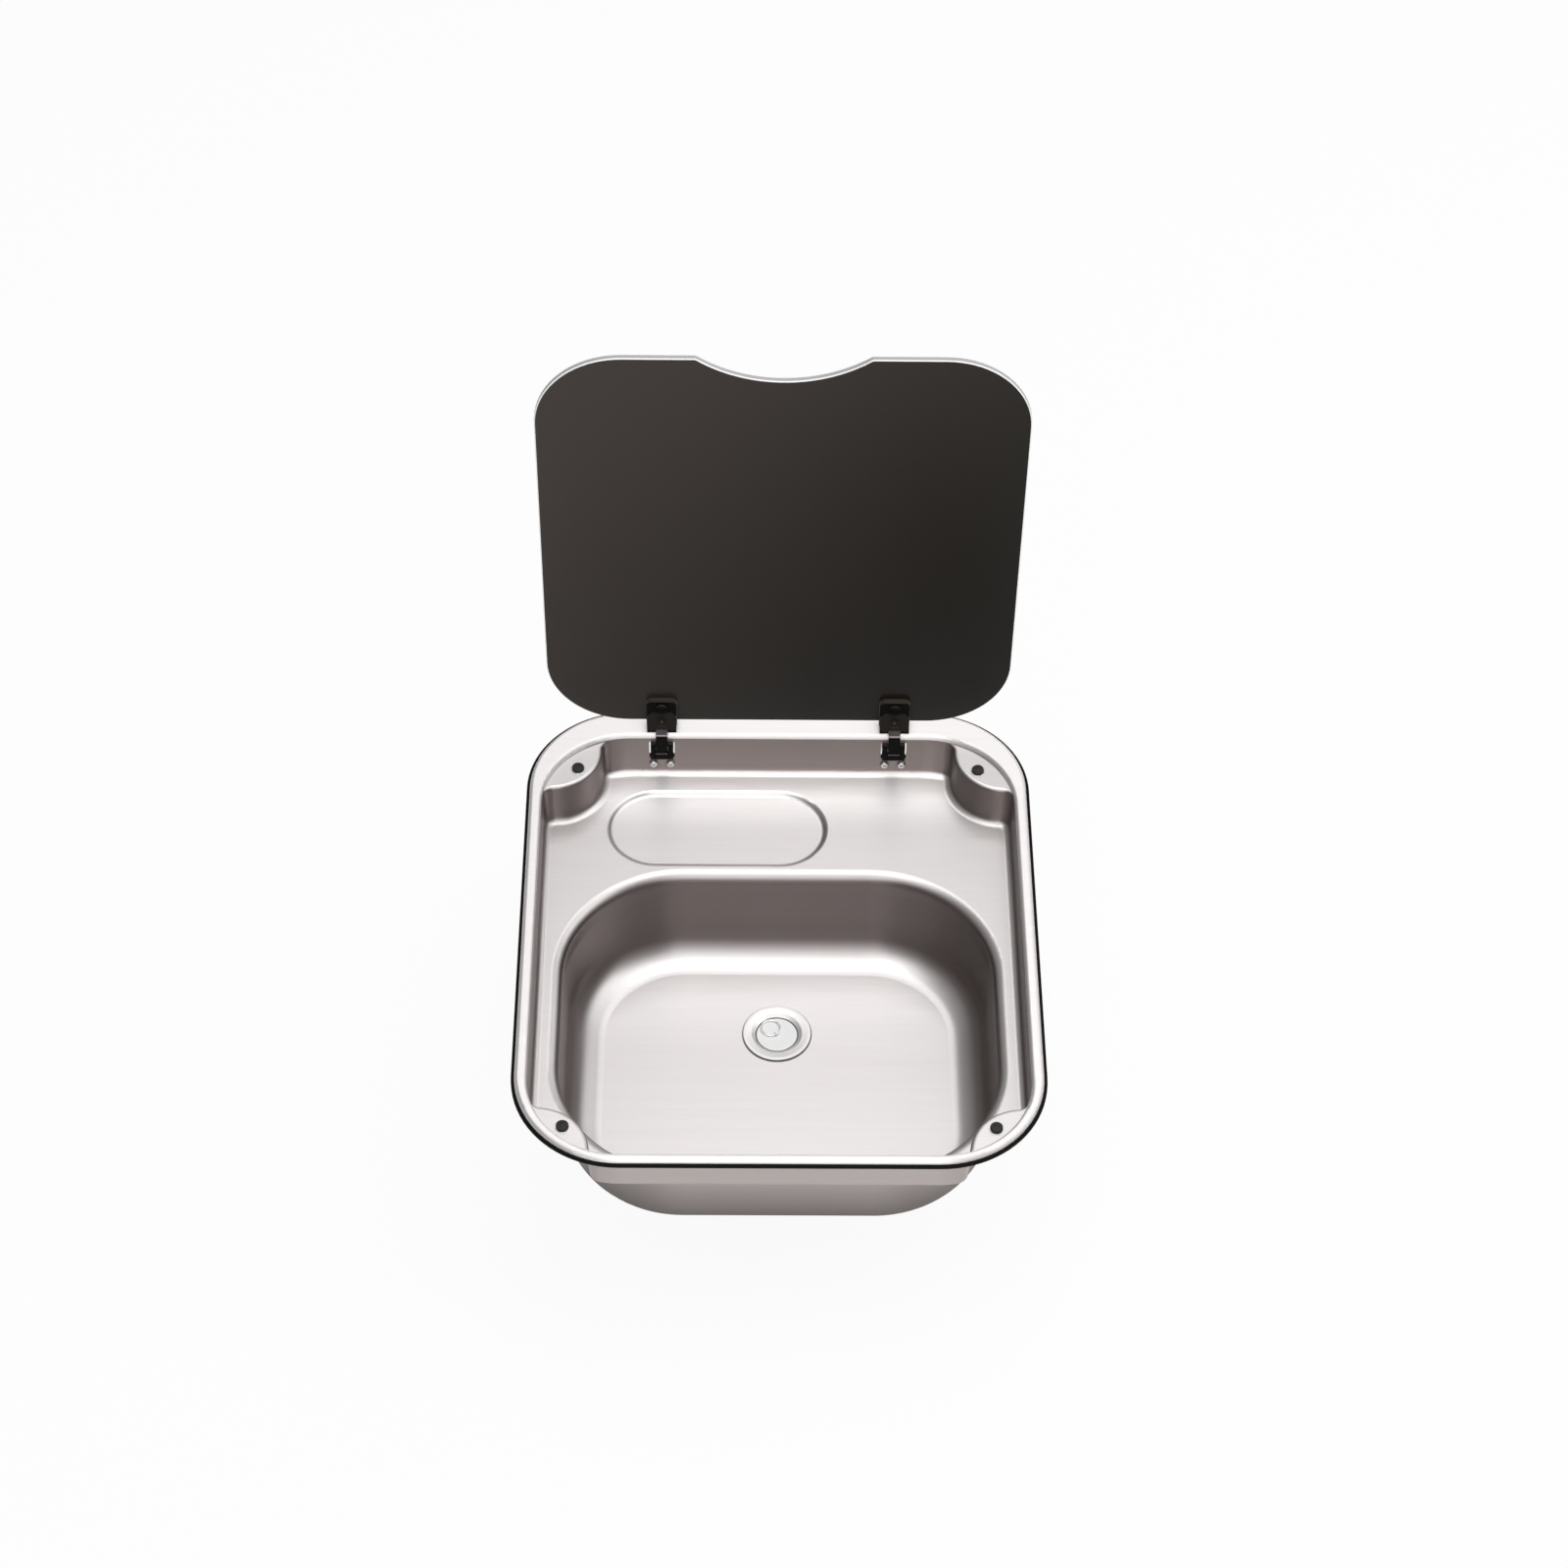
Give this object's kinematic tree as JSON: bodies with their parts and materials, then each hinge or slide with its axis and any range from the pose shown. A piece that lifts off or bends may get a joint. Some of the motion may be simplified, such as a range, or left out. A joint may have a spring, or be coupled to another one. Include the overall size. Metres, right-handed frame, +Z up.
{
  "type": "recreational vehicle sink with glass lid",
  "caption": "Drop-in stainless camper sink: bowl, deck and soap dish in a raised rim, under a hinged glass lid that folds down flush, with waste outlet and lift-out plug.",
  "frame": {"origin": "middle of the four fixing holes, on the worktop's surface, which is the seal's underside", "axes": "+Z up, +Y to the rear where the lid is hinged, +X to the right seen from the front"},
  "size_m": [0.4, 0.449, 0.5875],
  "materials": {
    "brushed_stainless": "fine side-to-side brushing",
    "seal_rubber": "moulded, satin",
    "buffer_rubber": "moulded, matt",
    "lid_glass": "tempered, dark enamel on the lower face, ground edge",
    "hinge_plastic": "moulded, fine grain",
    "clamp_plastic": "moulded, satin",
    "strap_steel": "ribbed across the bend",
    "spring_steel": "bright strip",
    "zinc_steel": "zinc plated",
    "bright_screw": "polished head",
    "black_screw": "black coated",
    "gasket_rubber": "soft, matt",
    "polished_stainless": "polished",
    "waste_plastic": "moulded",
    "white_plastic": "moulded, glossy",
    "ring_steel": "plated wire"
  },
  "bodies": {
    "root": {"sink_basin": "brushed_stainless", "rim_seal": "seal_rubber", "lid_buffer_front_left": "buffer_rubber", "lid_buffer_front_right": "buffer_rubber", "lid_buffer_rear_left": "buffer_rubber", "lid_buffer_rear_right": "buffer_rubber", "hinge_housing_left": "hinge_plastic", "hinge_spring_left": "spring_steel", "hinge_pin_left": "zinc_steel", "hinge_nut_plate_left": "zinc_steel", "hinge_screws_left": "bright_screw", "hinge_housing_right": "hinge_plastic", "hinge_spring_right": "spring_steel", "hinge_pin_right": "zinc_steel", "hinge_nut_plate_right": "zinc_steel", "hinge_screws_right": "bright_screw", "waste_flange": "polished_stainless", "flange_gasket": "gasket_rubber", "lower_gasket": "gasket_rubber", "back_nut": "waste_plastic", "waste_body": "waste_plastic"},
    "lid": {"glass_lid": "lid_glass", "hinge_arm_left": "strap_steel", "clamp_body_left": "clamp_plastic", "clamp_gasket_left": "gasket_rubber", "cap_gasket_left": "gasket_rubber", "clamp_cap_left": "clamp_plastic", "clamp_screw_left": "black_screw", "hinge_arm_right": "strap_steel", "clamp_body_right": "clamp_plastic", "clamp_gasket_right": "gasket_rubber", "cap_gasket_right": "gasket_rubber", "clamp_cap_right": "clamp_plastic", "clamp_screw_right": "black_screw"},
    "plug": {"plug_disc": "white_plastic", "plug_seal": "gasket_rubber"},
    "plug_ring": {"plug_ring": "ring_steel"}
  },
  "joints": [
    {"name": "lid_hinge", "type": "hinge", "parent": "root", "child": "lid", "pos_m": [0, 0.2089, -0.0101], "axis": [1, 0, 0], "range_deg": [0, 90]},
    {"name": "plug_lift", "type": "slide", "parent": "root", "child": "plug", "axis": [0, 0, 1], "range_m": [0, 0.1]},
    {"name": "ring_flip", "type": "hinge", "parent": "plug", "child": "plug_ring", "pos_m": [0, 0.006, -0.12365], "axis": [0.7615, 0.6481, 0], "range_deg": [0, 180]}
  ]
}
